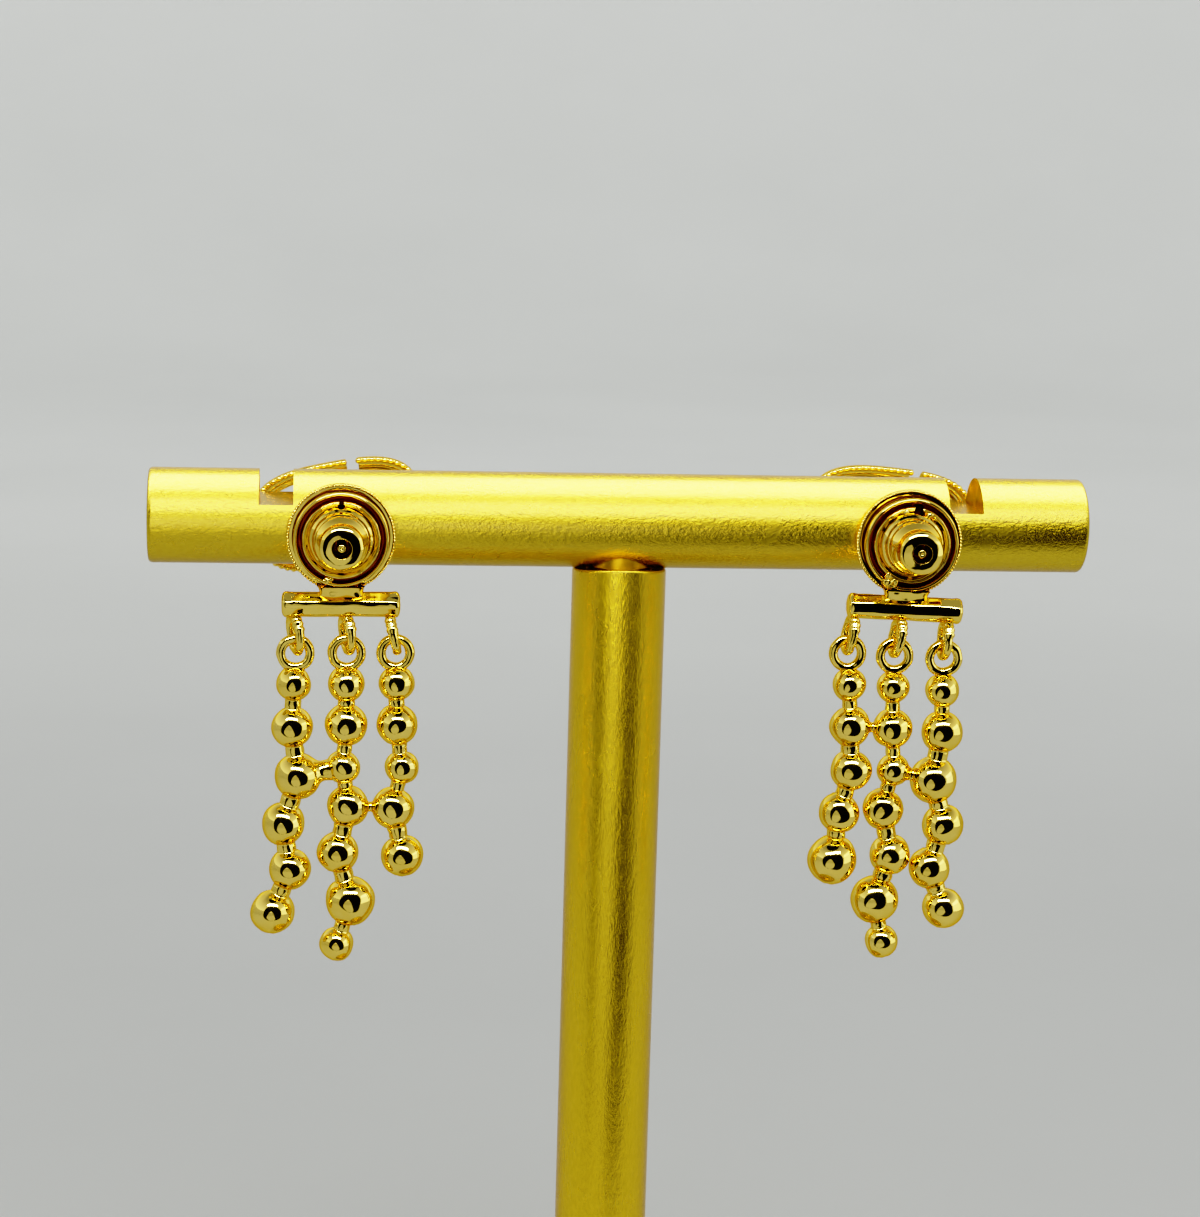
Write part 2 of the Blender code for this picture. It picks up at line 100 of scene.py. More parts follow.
# Earrings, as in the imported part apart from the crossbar's and saddle's small forms.
EAR_POST_RADIUS = 0.45
EAR_POST_TIP = 12.5
DRUM_NEAR = -7.7
CROSSBAR_DEPTH = 6.4
CROSSBAR_DROP = 6.57
CROSSBAR_LENGTH = 11.6
CROSSBAR_RADIUS = 1.30
CROSSBAR_WAIST_SHARE = 0.95
CROSSBAR_FACET_SHARE = 0.97
SADDLE_WIDTH = 4.7
SADDLE_THICKNESS = 1.5
SADDLE_FOOT = 0.62
SADDLE_TOP = 0.6
SADDLE_WAIST = 0.22
SADDLE_SWELL = 0.20
SADDLE_LEAN = 0.25
SADDLE_SQUARENESS = 3.5
LOOP_RADIUS = 1.75
LOOP_WIRE = 0.45
RING_RADIUS = 1.44
RING_WIRE = 0.47
RING_DROP = 11.45
LOOP_FOOT_OFFSET = 0.15
NUT_BASE = -6.7
NUT_LENGTH = 6.0
DRUM_RADIUS = 5.32
DRUM_THICKNESS = 2.6
NUT_RADIUS = 3.0
ORNAMENT_HALF_LENGTH = 8.68
ORNAMENT_HALF_HEIGHT = 5.4
ORNAMENT_SQUARENESS = 3.0
ORNAMENT_RISE = 0.5
ORNAMENT_NEAR = 5.15
SLOT_OFFSET = 2.32
SLOT_WIDTH = 1.25
BRIDGE_HALF_LENGTH = 7.3
BRIDGE_HEIGHT = 1.6
BRIDGE_NEAR = 7.0
BRIDGE_THICKNESS = 0.6
HUB_RADIUS = 1.9
HUB_NEAR = 6.3
HUB_THICKNESS = 1.75
HUB_TIP_RADIUS = 1.1
HUB_TIP_HEIGHT = 0.4

# Side, X and Z of the ear post from the bar's axis, turn of the drum, turn of the stud,
# and the direction of the stand's middle.
EARRINGS = (
    ("left", -28.10, -1.10, -0.5, -11.6, 1),
    ("right", 28.45, -0.95, 2.5, 5.7, -1),
)
# The strands' places across the drop, from the drum's middle towards the stand's.
STRAND_X = {"outer": -4.45, "middle": 0.57, "inner": 5.38}
# How far each loop is turned and leans, in degrees.
LOOP_SETTING = {
    ("left", "outer"): (15.0, 5.0),
    ("left", "middle"): (13.0, 4.0),
    ("left", "inner"): (0.0, 12.0),
    ("right", "inner"): (2.0, 7.0),
    ("right", "middle"): (2.0, 7.0),
    ("right", "outer"): (0.0, 2.0),
}
# Balls of each strand: X and drop from the centre of its top ring, and diameter.
BALLS = {
    ("left", "outer"): (
        (-0.15, 3.10, 3.45), (-0.30, 7.50, 4.15), (0.35, 12.45, 4.70),
        (-1.05, 17.35, 4.35), (-0.35, 22.00, 4.20), (-2.05, 26.45, 4.40),
    ),
    ("left", "middle"): (
        (0.00, 3.10, 3.65), (0.05, 7.25, 4.25), (-0.20, 11.55, 3.35), (0.30, 15.55, 4.20),
        (-0.65, 20.30, 4.20), (0.65, 25.35, 5.00), (-0.65, 29.85, 3.45),
    ),
    ("left", "inner"): (
        (0.15, 3.05, 3.55), (0.25, 7.25, 4.15), (0.80, 11.60, 3.40), (0.00, 15.75, 4.20),
        (1.00, 20.65, 4.25),
    ),
    ("right", "inner"): (
        (0.35, 3.20, 3.40), (0.60, 7.50, 4.15), (0.90, 12.05, 4.20), (-0.15, 16.45, 4.10),
        (-0.65, 21.35, 5.05),
    ),
    ("right", "middle"): (
        (0.00, 3.25, 3.30), (0.10, 7.50, 4.05), (0.40, 11.75, 3.35), (-0.50, 15.85, 4.20),
        (0.45, 20.60, 4.15), (-0.95, 25.35, 4.90), (0.00, 29.75, 3.40),
    ),
    ("right", "outer"): (
        (0.00, 3.30, 3.50), (0.20, 7.55, 4.25), (-0.45, 12.60, 4.80), (0.75, 17.25, 4.20),
        (-0.45, 21.80, 4.20), (1.20, 26.00, 4.25),
    ),
}
# Solder between balls: two strands, each with the ball's number, and the waist's radius.
SOLDER = {
    "left": (("outer", 3, "middle", 3, 1.05), ("middle", 4, "inner", 4, 0.50)),
    "right": (("inner", 2, "middle", 2, 0.45), ("middle", 3, "outer", 3, 0.65)),
}
# Where the solder starts and how wide it is there, in shares of the ball's radius.
SOLDER_START = 0.72
SOLDER_END = 0.66
# A neck's radius at a ball, in shares of the smaller neighbour's.
NECK_SHARE = 0.44

# Drum section: radius and depth behind the near face, in shares of radius and thickness.
DRUM_SECTION = (
    (0.971, 1.00), (1.000, 0.94), (1.000, 0.75), (0.971, 0.69), (0.900, 0.69), (0.846, 0.69),
    (0.846, 0.52), (0.888, 0.42), (0.888, 0.16), (0.865, 0.08), (0.827, 0.08),
    (0.804, 0.16), (0.798, 0.50), (0.733, 0.50), (0.729, 0.08), (0.705, 0.00),
    (0.674, 0.02), (0.611, 0.20), (0.489, 0.22),
)
# Nut section: radius and distance from the base, in shares of radius and length.
NUT_SECTION = (
    (1.07, 0.00), (1.07, 0.15), (0.93, 0.21), (0.91, 0.28), (0.84, 0.31),
    (0.83, 0.39), (0.88, 0.43), (0.88, 0.49), (0.78, 0.56), (0.70, 0.64),
    (0.70, 0.78), (0.73, 0.88), (0.705, 0.93), (0.62, 0.962), (0.48, 0.990), (0.36, 0.999),
)
NUT_MOUTH_RADIUS = 0.95
NUT_MOUTH_DEPTH = 1.6
NUT_BASE_BAND = 1.6
# Lobe section: distance inside the outline and depth behind the near rim.
LOBE_SECTION = (
    (0.00, 0.00), (0.00, 0.95), (0.30, 1.70), (0.95, 2.30), (1.70, 2.60),
    (1.70, 2.05), (1.05, 1.75), (0.60, 1.20), (0.50, 0.00),
)

# Flats rubbed on each crossbar: the angles where each starts and ends, in degrees above
# the viewer's direction.
CROSSBAR_FACETS = {"left": ((-46.0, -4.0), (22.0, 78.0)), "right": ((26.0, 80.0),)}

# The wire wound on the loops: degrees from the loop's top, and height in mm.
WINDING_START = 24.0
WINDING_PITCH = 17.0
WINDING_HEIGHT = 0.13

# Painted shade inside the drum, brown in the groove and near black on the flange's step: tone, then radius
# and depth from and to, in shares.
DRUM_PAINTED_SHADES = {
    "recess": ((0.62, 0.22, 0.03), (0.727, 0.806), (0.12, 1.1)),
    "step": ((0.16, 0.06, 0.01), (0.83, 0.903), (0.50, 1.1)),
}
# Painted light: the inner cup, given paler gold, by radius and depth from and to, in shares.
DRUM_PAINTED_LIGHT_CUP = ((0.0, 0.70), (-1.0, 0.50))
DRUM_UNEVEN_RADIUS = 4.0
# The nick at the top of each cup's rim.
NICKS = {
    "left": {"x": 0.0, "width": 0.50, "low": 3.2, "high": 3.86, "turn": 0.0},
    "right": {"x": 0.43, "width": 0.85, "low": 2.9, "high": 4.05, "turn": -2.0},
}
# Solder across the drum's groove: angle, radius, depth behind the face, and size.
DRUM_SOLDER = {
    "left": (
        (252.0, 4.20, 0.42, 0.36), (249.0, 4.42, 0.50, 0.26), (256.0, 4.08, 0.40, 0.28),
    ),
    "right": (
        (241.0, 4.25, 0.40, 0.55), (236.0, 3.85, 0.35, 0.42), (246.0, 4.55, 0.55, 0.48),
        (249.0, 4.05, 0.45, 0.40), (64.0, 3.45, 0.30, 0.38), (54.0, 3.60, 0.30, 0.30),
        (106.0, 3.40, 0.25, 0.30),
    ),
}
# The beading: distance along the rim, bead radius, and how far in from the rim it sits.
DRUM_BEAD_PITCH = 0.335
DRUM_BEAD_RADIUS = 0.15
DRUM_BEAD_INSET = 0.10
DRUM_BEAD_DEPTH_SHARE = 0.71
ORNAMENT_BEAD_PITCH = 0.68
ORNAMENT_BEAD_RADIUS = 0.32
ORNAMENT_BEAD_INSET = 0.25
ORNAMENT_BEAD_START = 0.2

# Base colours: each pair is mixed by the grain or clouds of its metal.
BAR_TONES = ((0.68, 0.49, 0.030), (0.78, 0.58, 0.045))
POST_TONES = ((0.78, 0.54, 0.015), (0.90, 0.64, 0.030))
POLISHED_TONES = ((0.95, 0.71, 0.17), (0.985, 0.77, 0.23))
# Painted light: paler gold for the inside of the drum's cup.
CUP_PAINTED_LIGHT_TONES = ((0.98, 0.82, 0.30), (1.0, 0.87, 0.38))
SAWN_TONE = (0.86, 0.58, 0.08)
BARE_BRASS_TONE = (0.86, 0.50, 0.04)
# Painted shade: near black on the faces of the drum's nick.
NICK_PAINTED_SHADE = (0.10, 0.04, 0.01)
# Painted shade: dark brown inside the ear nut's mouth.
NUT_MOUTH_PAINTED_SHADE = (0.25, 0.09, 0.015)
FLOOR_COLOUR = (0.70, 0.715, 0.70)

# The surroundings: the dark patch, the pale gap in it and the dark ceiling, in degrees as
# seen from the earrings, with their distance and the floor's size in metres.
PATCH = {"azimuth": -2.0, "half_width": 53.0, "height": 1.0, "half_height": 43.0}
GAP = {"azimuth": -16.0, "half_width": 23.0, "height": -13.0, "half_height": 30.0}
CEILING = {"azimuth": -5.0, "half_width": 80.0, "height": 72.0, "half_height": 9.0}
PATCH_REACH = 0.37
CEILING_REACH = 0.6
EARRINGS_MIDDLE = (0.0, -0.006, 0.085)
FLOOR_RADIUS = 0.98
FLOOR_CURVE = 0.62
PATCH_SQUARENESS = 2.6
GAP_TAPER = 0.3

# Lights: name, place, target, size, power, and what they reach, in metres and watts.
LIGHTS = (
    ("bar_lamp", (-0.02, -0.40, 0.62), (0.0, -0.02, 0.09), (0.78, 0.095), 8.0, "earrings"),
    ("stand_top", (0.0, 0.08, 0.55), (0.0, 0.08, 0.0), (1.1, 0.50), 8.3, "stand"),
    ("stand_front", (0.02, -0.277, 0.290), (0.02, 0.0, 0.11), (0.56, 0.19), 1.12, "bar"),
    ("side_fill", (0.55, -0.12, 0.06), (0.0, 0.0, 0.085), (0.5, 0.6), 0.95, "earrings"),
    ("post_front", (0.0, -0.62, 0.40), (0.0, 0.0, 0.11), (0.7, 0.50), 5.5, "post"),
    ("bar_low", (-0.15, -0.30, 0.003), (-0.10, 0.0, 0.11), (0.40, 0.30), 0.38, "bar"),
    ("room_fill", (0.1, -0.5, 0.9), (0.0, 0.1, 0.0), (0.9, 0.9), 3.0, "stage"),
    ("wall_fill", (0.0, 0.55, 0.75), (0.0, 1.5, 0.30), (1.6, 0.5), 3.6, "stage"),
)

# Tone curve: scene brightness and what is shown.
TONE_WHITE = 4.0
TONE_CURVE = (
    (0.02, 0.002), (0.05, 0.014), (0.09, 0.055), (0.20, 0.185), (0.35, 0.355),
    (0.50, 0.505), (0.70, 0.66), (1.00, 0.79), (1.50, 0.90), (2.30, 0.955),
)

# Camera, fitted to the photograph: place in mm, angles in radians, lens in mm.
CAMERA_PLACE = (-31.81, -303.25, 159.31)
CAMERA_YAW = 0.0985738
CAMERA_PITCH = 0.1892879
CAMERA_ROLL = -0.0283215
CAMERA_LENS = 91.912


# Meshes.

def object_from(name, work):
    """A smooth-shaded object in the scene, made of the mesh that is handed over."""
    bmesh.ops.recalc_face_normals(work, faces=work.faces)
    mesh = bpy.data.meshes.new(name)
    work.to_mesh(mesh)
    work.free()
    item = bpy.data.objects.new(name, mesh)
    bpy.context.scene.collection.objects.link(item)
    mesh.shade_smooth()
    return item


def skin(name, rows, closed_path=False, poles=(None, None), place=None, sharp=40.0):
    """A closed body through rings of points, in mm, set in place and made metres."""
    matrix = Matrix.Scale(MM, 4) @ (place or Matrix.Identity(4))
    work = bmesh.new()
    made = [[work.verts.new(matrix @ point) for point in row] for row in rows]
    count = len(made[0])
    pairs = list(zip(made, made[1:]))
    if closed_path:
        pairs.append((made[-1], made[0]))
    for near, far in pairs:
        for i in range(count):
            j = (i + 1) % count
            work.faces.new((near[i], near[j], far[j], far[i]))
    if not closed_path:
        for row, pole in ((made[0], poles[0]), (made[-1], poles[1])):
            if pole is None:
                work.faces.new(row)
                continue
            tip = work.verts.new(matrix @ pole)
            for i in range(count):
                work.faces.new((row[i], row[(i + 1) % count], tip))
    item = object_from(name, work)
    item.data.set_sharp_from_angle(angle=math.radians(sharp))
    return item


def rounded(points, reach, closed=True, steps=4):
    """The same outline with each corner replaced by a short curve."""
    result = []
    count = len(points)
    for i, point in enumerate(points):
        if not closed and i in (0, count - 1):
            result.append(point)
            continue
        here = Vector(point)
        back = Vector(points[i - 1]) - here
        on = Vector(points[(i + 1) % count]) - here
        start = here + back.normalized() * min(reach, 0.42 * back.length)
        end = here + on.normalized() * min(reach, 0.42 * on.length)
        for k in range(steps + 1):
            t = k / steps
            mixed = start * (1 - t) ** 2 + here * (2 * t * (1 - t)) + end * t ** 2
            result.append((mixed.x, mixed.y))
    return result


def squared(c, s, power):
    """How far a squared-off circle reaches in the direction (c, s)."""
    return (abs(c) ** power + abs(s) ** power) ** (-1.0 / power)


def full_turn(sides):
    """The cosine and sine of each of the equal steps round a circle."""
    angles = [2.0 * math.pi * i / sides for i in range(sides)]
    return [(math.cos(angle), math.sin(angle)) for angle in angles]


def ring_row(centre, normal, radius, sides):
    """A ring of points round a centre, square to the normal."""
    across = AWAY
    if abs(normal.y) > 0.5:
        across = Vector((1.0, 0.0, 0.0))
    second = normal.cross(across).normalized()
    across = second.cross(normal)
    return [centre + across * (radius * c) + second * (radius * s) for c, s in full_turn(sides)]


def turned(name, section, axis, sides, closed_path=False, place=None, sharp=40.0):
    """A body turned about an axis, from (radius, distance) pairs."""
    rows = [ring_row(axis * far, axis, radius, sides) for radius, far in section]
    return skin(name, rows, closed_path, place=place, sharp=sharp)


def wire_ring(name, centre, normal, radius, wire, swell=None, place=None, steps=72, sides=20):
    """A round ring of wire; swell adds to the wire's radius along the ring."""
    level = normal.cross(UP).normalized()
    start = level.cross(normal)
    rows = []
    for along, across in full_turn(steps):
        out = start * along + level * across
        thick = wire + (swell(out) if swell else 0.0)
        rows.append([
            centre + out * (radius + thick * c) + normal * (thick * s) for c, s in full_turn(sides)
        ])
    return skin(name, rows, closed_path=True, place=place)


def block(name, low, high, place=None):
    """A box between its lowest and highest corners."""
    rows = []
    for z in (low[2], high[2]):
        rows.append([
            Vector((low[0], low[1], z)), Vector((high[0], low[1], z)),
            Vector((high[0], high[1], z)), Vector((low[0], high[1], z)),
        ])
    return skin(name, rows, place=place)


def beads(name, centres, radius, subdivisions=2):
    """Small balls, each a closed shell, at points in metres."""
    work = bmesh.new()
    for point in centres:
        bmesh.ops.create_icosphere(
            work, subdivisions=subdivisions, radius=radius * MM, matrix=Matrix.Translation(point),
        )
    return object_from(name, work)


def wobble(item, amount, scale, seed, weight=None, stretch=(1.0, 1.0, 1.0)):
    """Hand-finished unevenness: moves each vertex along its normal by smooth noise."""
    shift = Vector((seed * 7.1, seed * 3.3, seed * 5.7))
    mesh = item.data
    normals = [v.normal.copy() for v in mesh.vertices]
    for v, normal in zip(mesh.vertices, normals):
        point = v.co / MM
        share = 1.0 if weight is None else weight(point)
        grain = Vector([a * b * scale for a, b in zip(point, stretch)])
        v.co += normal * (amount * MM * share * noise.noise(grain + shift))
    mesh.update()


def baked(item):
    """Applies the object's modifiers."""
    bpy.context.view_layer.update()
    graph = bpy.context.evaluated_depsgraph_get()
    mesh = bpy.data.meshes.new_from_object(item.evaluated_get(graph))
    item.modifiers.clear()
    old = item.data
    item.data = mesh
    mesh.name = item.name
    bpy.data.meshes.remove(old)
    return item


def open_skin(name, rows, fill_start=False):
    """An open sheet through rings of points, in metres."""
    work = bmesh.new()
    made = [[work.verts.new(point) for point in row] for row in rows]
    for near, far in zip(made, made[1:]):
        for i in range(len(near)):
            j = (i + 1) % len(near)
            work.faces.new((near[i], near[j], far[j], far[i]))
    if fill_start:
        work.faces.new(made[0])
    return object_from(name, work)


def cut(item, tools):
    """Cuts the tools out of the object and removes them."""
    for tool in tools:
        step = item.modifiers.new(tool.name, "BOOLEAN")
        step.operation = "DIFFERENCE"
        step.solver = "EXACT"
        step.object = tool
    baked(item)
    for face in item.data.polygons:
        face.material_index = 0
    for tool in tools:
        bpy.data.objects.remove(tool)


# Materials.

def noise_node(tree, coordinates, scale, detail, rough=0.5):
    made = tree.nodes.new("ShaderNodeTexNoise")
    made.inputs["Scale"].default_value = scale
    made.inputs["Detail"].default_value = detail
    made.inputs["Roughness"].default_value = rough
    tree.links.new(coordinates, made.inputs["Vector"])
    return made


def ramp(tree, factor, low, high, from_low, from_high):
    made = tree.nodes.new("ShaderNodeMapRange")
    made.inputs["From Min"].default_value = from_low
    made.inputs["From Max"].default_value = from_high
    made.inputs["To Min"].default_value = low
    made.inputs["To Max"].default_value = high
    tree.links.new(factor, made.inputs["Value"])
    return made.outputs["Result"]


def mixed_colour(tree, factor, first, second):
    made = tree.nodes.new("ShaderNodeMix")
    made.data_type = "RGBA"
    made.inputs["A"].default_value = (*first, 1.0)
    made.inputs["B"].default_value = (*second, 1.0)
    tree.links.new(factor, made.inputs["Factor"])
    return made.outputs["Result"]


def start_metal(name):
    """A fully metallic material, with what its textures are built on."""
    made = bpy.data.materials.new(name)
    made.use_nodes = True
    tree = made.node_tree
    shader = tree.nodes["Principled BSDF"]
    shader.inputs["Metallic"].default_value = 1.0
    place = tree.nodes.new("ShaderNodeTexCoord").outputs["Object"]
    return made, tree, shader, place


def bump(tree, shader, height, distance, strength, normal=None):
    made = tree.nodes.new("ShaderNodeBump")
    made.inputs["Distance"].default_value = distance
    made.inputs["Strength"].default_value = strength
    tree.links.new(height, made.inputs["Height"])
    if normal is not None:
        tree.links.new(normal, made.inputs["Normal"])
    tree.links.new(made.outputs["Normal"], shader.inputs["Normal"])
    return made.outputs["Normal"]


def satin_gold(name, stretch=(0.6, 1.0, 1.0), tones=BAR_TONES):
    """Bead-blasted gold finish under clear lacquer, with mottled and clouded shine."""
    made, tree, shader, place = start_metal(name)
    scaled = tree.nodes.new("ShaderNodeMapping")
    scaled.inputs["Scale"].default_value = stretch
    tree.links.new(place, scaled.inputs["Vector"])
    place = scaled.outputs["Vector"]
    grain = noise_node(tree, place, 3800.0, 3.0, 0.65).outputs["Fac"]
    mottle = noise_node(tree, place, 1500.0, 2.0, 0.6).outputs["Fac"]
    clouds = noise_node(tree, place, 260.0, 4.0, 0.6).outputs["Fac"]
    shine = ramp(tree, clouds, 0.22, 0.30, 0.3, 0.7)
    tree.links.new(shine, shader.inputs["Roughness"])
    tone = mixed_colour(tree, ramp(tree, grain, 0.0, 1.0, 0.3, 0.7), *tones)
    tree.links.new(tone, shader.inputs["Base Color"])
    shader.inputs["Coat Weight"].default_value = 0.85
    shader.inputs["Coat Roughness"].default_value = 0.26
    shader.inputs["Coat IOR"].default_value = 1.55
    shader.inputs["Specular Tint"].default_value = (0.60, 0.44, 0.12, 1.0)
    soft = bump(tree, shader, mottle, 0.00005, 0.7)
    bump(tree, shader, grain, 0.00006, 1.0, soft)
    return made


def polished_gold(name, tones=POLISHED_TONES):
    """Mirror-polished plating, very slightly uneven, a little duller in patches."""
    made, tree, shader, place = start_metal(name)
    clouds = noise_node(tree, place, 420.0, 3.0).outputs["Fac"]
    scuffs = noise_node(tree, place, 2600.0, 4.0, 0.6).outputs["Fac"]
    shine = ramp(tree, scuffs, 0.05, 0.11, 0.35, 0.75)
    tree.links.new(shine, shader.inputs["Roughness"])
    tone = mixed_colour(tree, ramp(tree, clouds, 0.0, 1.0, 0.3, 0.7), *tones)
    tree.links.new(tone, shader.inputs["Base Color"])
    shader.inputs["Specular Tint"].default_value = (0.92, 0.66, 0.24, 1.0)
    bump(tree, shader, clouds, 0.00004, 0.12)
    return made


def dull_gold_and_painted_shade(name, tone):
    """Duller gold of a chosen tone: the real finish where a tool has cut or the metal is bare, and painted
    shade where recesses and holes are darkened.
    """
    made, tree, shader, place = start_metal(name)
    clouds = noise_node(tree, place, 900.0, 3.0).outputs["Fac"]
    shine = ramp(tree, clouds, 0.28, 0.42, 0.3, 0.7)
    tree.links.new(shine, shader.inputs["Roughness"])
    dark = [c * 0.7 for c in tone]
    colour = mixed_colour(tree, ramp(tree, clouds, 0.0, 1.0, 0.3, 0.7), dark, tone)
    tree.links.new(colour, shader.inputs["Base Color"])
    shader.inputs["Specular Tint"].default_value = (0.75, 0.50, 0.12, 1.0)
    bump(tree, shader, clouds, 0.00004, 0.3)
    return made


def second_finish(item, material, chosen):
    """Gives the faces that chosen picks, by centre in mm and normal, another material."""
    item.data.materials.append(material)
    index = len(item.data.materials) - 1
    for face in item.data.polygons:
        if chosen(face.center / MM, face.normal):
            face.material_index = index


def dress(item, material, body=FIXED, replaced=()):
    """Sets the material, the body that the piece rides on, and what it stands for."""
    item.data.materials.clear()
    item.data.materials.append(material)
    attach(item, body)
    if replaced:
        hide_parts(*replaced)


# Stand.

def round_normals(item, axis, centre, radius):
    """Gives the round wall of a cut cylinder the normals of a true cylinder."""
    mesh = item.data
    along = Vector(axis)
    middle = Vector(centre) * MM
    normals = [corner.vector.copy() for corner in mesh.corner_normals]
    for face in mesh.polygons:
        for k in face.loop_indices:
            point = mesh.vertices[mesh.loops[k].vertex_index].co
            out = point - middle
            out -= along * out.dot(along)
            close = abs(out.length - radius * MM) < 0.02 * MM
            if close and out.normalized().dot(face.normal) > 0.99:
                normals[k] = out.normalized()
    mesh.normals_split_custom_set(normals)


def base():
    """The round flat base."""
    section = rounded(
        (
            (BASE_CORE, 0.0), (BASE_RADIUS - BASE_TAPER, 0.0),
            (BASE_RADIUS, BASE_THICKNESS), (BASE_CORE, BASE_THICKNESS),
        ),
        BASE_ROUNDING, steps=8,
    )
    plate = turned("stand_base_plate", section, UP, 160)
    dress(plate, satin_gold("base_satin"), replaced=["stand_base"])


def post():
    """The post with its hollowed top under the bar, and the stud on it."""
    foot = BASE_THICKNESS + SEAT_GAP
    top = BAR_Z - BAR_RADIUS - SHOULDER_GAP
    section = [(CORE, foot)] + rounded(
        (
            (CORE, foot), (POST_RADIUS, foot), (POST_RADIUS, top), (STUD_RADIUS, top),
            (STUD_RADIUS, top + STUD_LENGTH), (CORE, top + STUD_LENGTH),
        ),
        POST_ROUNDING, closed=False,
    )[1:]
    rod = turned("stand_post_rod", section, UP, 128)
    for v in rod.data.vertices:
        reach = abs(v.co.y) / (POST_RADIUS * MM)
        if v.co.z > (top - SHOULDER_BAND) * MM and v.co.xy.length > (STUD_RADIUS + 0.05) * MM:
            v.co.z += POST_COPE * MM * reach ** 2
    satin = satin_gold("post_satin", (1.0, 1.0, 0.35), POST_TONES)
    dress(rod, satin, replaced=["stand_post"])

    def stud_wall(centre, _):
        return centre.z > top + 0.05 and centre.xy.length < STUD_RADIUS + 0.02

    second_finish(rod, dull_gold_and_painted_shade("bare_brass", BARE_BRASS_TONE), stud_wall)


def bar():
    """The rod with its notches, its holes for the ear posts and the post's socket."""
    place = Matrix.Translation((0.0, 0.0, BAR_Z))
    half = BAR_LENGTH / 2
    section = [(CORE, -half)] + rounded(
        ((CORE, -half), (BAR_RADIUS, -half), (BAR_RADIUS, half), (CORE, half)),
        BAR_ROUNDING, closed=False,
    )[1:]
    rod = turned("stand_bar_rod", section, Vector((1.0, 0.0, 0.0)), 160, place=place)
    tools = []
    for sign in (-1, 1):
        notch = sign * NOTCH_X
        tools.append(block(
            "notch", (notch - NOTCH_WIDTH / 2, -CUT_REACH, BAR_RADIUS - NOTCH_DEPTH),
            (notch + NOTCH_WIDTH / 2, CUT_REACH, CUT_REACH), place=place,
        ))
        tools.append(turned(
            "hole", ((HOLE_RADIUS, -CUT_REACH), (HOLE_RADIUS, CUT_REACH)), AWAY, 48,
            place=place @ Matrix.Translation((sign * HOLE_X, 0.0, 0.0)),
        ))
    socket = STUD_RADIUS + FIT_GAP
    roof = -BAR_RADIUS - SEAT_GAP + STUD_LENGTH + FIT_GAP
    tools.append(turned("socket", ((socket, -CUT_REACH), (socket, roof)), UP, 64, place=place))
    cut(rod, tools)
    rod.data.shade_smooth()
    rod.data.set_sharp_from_angle(angle=math.radians(35.0))
    round_normals(rod, (1.0, 0.0, 0.0), (0.0, 0.0, BAR_Z), BAR_RADIUS)
    dress(rod, satin_gold("bar_satin"), replaced=["stand_bar"])

    def sawn(centre, normal):
        out = Vector((0.0, centre.y, centre.z - BAR_Z))
        return abs(centre.x) < half - 1.0 and out.normalized().dot(normal) < 0.97

    second_finish(rod, dull_gold_and_painted_shade("sawn_gold", SAWN_TONE), sawn)


# Earrings.

def facet(item, place, low, high, radius):
    """Rubs the round crossbar flat between two angles above the viewer's direction."""
    back = place.inverted()
    middle = math.radians((low + high) / 2)
    facing = Vector((0.0, -math.cos(middle), math.sin(middle)))
    depth = radius * math.cos(math.radians((high - low) / 2))
    for v in item.data.vertices:
        point = back @ (v.co / MM)
        beyond = point.dot(facing) - depth
        if beyond > 0.0:
            point -= facing * beyond
            v.co = (place @ point) * MM
    item.data.update()


def crossbar(side, hang, gold):
    """The bar that the loops hang on, slightly thicker at its ends, with rubbed flats."""
    half = CROSSBAR_LENGTH / 2
    inner = CROSSBAR_RADIUS * CROSSBAR_WAIST_SHARE
    section = [
        (0.30, -half), (0.80, -half), (1.10, -half + 0.10), (1.26, -half + 0.28),
        (CROSSBAR_RADIUS, -half + 0.52), (inner, -half + 1.0),
    ]
    section += [(inner, -half + 1.0 + k * (half - 1.0) / 20) for k in range(1, 20)]
    section += [(radius, -far) for radius, far in reversed(section)]
    place = hang @ Matrix.Translation((0.0, -CROSSBAR_DEPTH, -CROSSBAR_DROP))
    rod = turned(side + "_crossbar", section, Vector((1.0, 0.0, 0.0)), 96, place=place, sharp=70.0)
    for low, high in CROSSBAR_FACETS[side]:
        facet(rod, place, low, high, CROSSBAR_RADIUS * CROSSBAR_FACET_SHARE)
    wobble(rod, amount=0.045, scale=1.5, seed=3.0, stretch=(0.45, 1.0, 1.0))
    dress(rod, gold)
    saddle(side, hang, gold)


def saddle(side, hang, gold):
    """The waisted yoke between drum and crossbar, round-cornered in plan."""
    rows = []
    top, bottom = SADDLE_TOP - DRUM_RADIUS, SADDLE_FOOT - CROSSBAR_DROP
    steps, sides = 20, 72
    for k in range(steps + 1):
        t = 2.0 * k / steps - 1.0
        wide = SADDLE_WIDTH / 2 - SADDLE_WAIST + SADDLE_WAIST * t * t
        deep = SADDLE_THICKNESS / 2 + SADDLE_SWELL - SADDLE_LEAN * t
        height = top + (bottom - top) * k / steps
        row = []
        for c, s in full_turn(sides):
            reach = squared(c, s, SADDLE_SQUARENESS)
            row.append(Vector((wide * c * reach, deep * s * reach - CROSSBAR_DEPTH, height)))
        rows.append(row)
    item = skin(side + "_saddle", rows, place=hang)
    wobble(item, amount=0.09, scale=0.9, seed=8.0)
    dress(item, gold)


def wound(out):
    """Three turns of thin wire wound on the near side of a loop, below the crossbar."""
    fall = math.degrees(math.acos(max(-1.0, min(1.0, out.z))))
    if out.y > 0.0 or not WINDING_START < fall < WINDING_START + 3 * WINDING_PITCH:
        return 0.0
    return WINDING_HEIGHT * abs(math.sin(math.pi * (fall - WINDING_START) / WINDING_PITCH))


